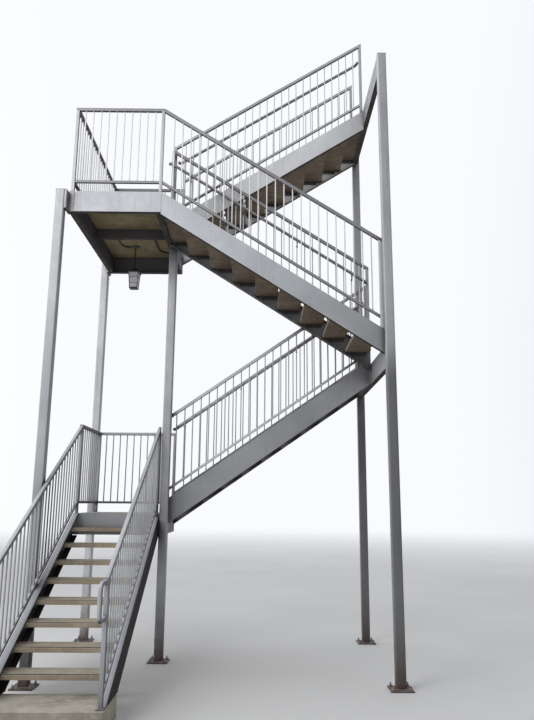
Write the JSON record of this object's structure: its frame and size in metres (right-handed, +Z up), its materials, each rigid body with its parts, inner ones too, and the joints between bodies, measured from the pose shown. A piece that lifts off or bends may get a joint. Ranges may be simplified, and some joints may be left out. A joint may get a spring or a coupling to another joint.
{
  "type": "fire escape stair",
  "caption": "Freestanding steel escape stair with switchback flights, two landings, baluster railings and square posts on base plates.",
  "frame": {"origin": "middle of the footprint at ground level", "axes": "+Z up; +X from the landings towards the walkways; +Y from the foot of the first flight towards the back"},
  "size_m": [3.919, 3.949, 8.0957],
  "materials": {
    "frame_steel": "light grey satin paint with rust and run marks",
    "rail_steel": "light grey satin paint, worn",
    "plate_steel": "grey paint, rusted",
    "angle_steel": "dark grey paint, rusted",
    "tread_concrete": "rough cast, stained brown",
    "deck_board": "rough cast, stained brown",
    "concrete": "rough cast, weathered",
    "lantern_metal": "dark satin paint",
    "dark_conduit": "dark satin"
  },
  "bodies": {
    "root": {"post_front_left": "frame_steel", "post_back_left": "frame_steel", "post_middle": "frame_steel", "post_walkway_near": "frame_steel", "post_walkway_far": "frame_steel", "base_plates": "plate_steel", "foot_step": "concrete", "mid_side_beams": "frame_steel", "mid_left_beam": "frame_steel", "mid_inner_beam": "frame_steel", "mid_joist": "frame_steel", "mid_deck": "deck_board", "low_side_beams": "frame_steel", "low_cross_beams": "frame_steel", "low_deck": "deck_board", "walkway_headers": "frame_steel", "flight_1_stringers": "frame_steel", "flight_2_stringers": "frame_steel", "flight_3_stringers": "frame_steel", "flight_4_stringers": "frame_steel", "flight_1_treads": "tread_concrete", "flight_2_treads": "tread_concrete", "flight_3_treads": "tread_concrete", "flight_4_treads": "tread_concrete", "tread_angles": "angle_steel", "flight_1_left_railing": "rail_steel", "flight_1_right_railing": "rail_steel", "flight_1_rail_loops": "rail_steel", "flight_2_near_railing": "rail_steel", "flight_2_far_railing": "rail_steel", "flight_3_near_railing": "rail_steel", "flight_3_far_railing": "rail_steel", "flight_4_near_railing": "rail_steel", "flight_4_far_railing": "rail_steel", "well_guard": "rail_steel", "flight_2_handrail": "rail_steel", "flight_3_handrail": "rail_steel", "flight_4_handrail": "rail_steel", "mid_front_railing": "rail_steel", "mid_left_railing": "rail_steel", "mid_back_railing": "rail_steel", "low_left_railing": "rail_steel", "low_back_railing": "rail_steel", "lantern": "lantern_metal", "conduit": "dark_conduit"}
  },
  "joints": []
}
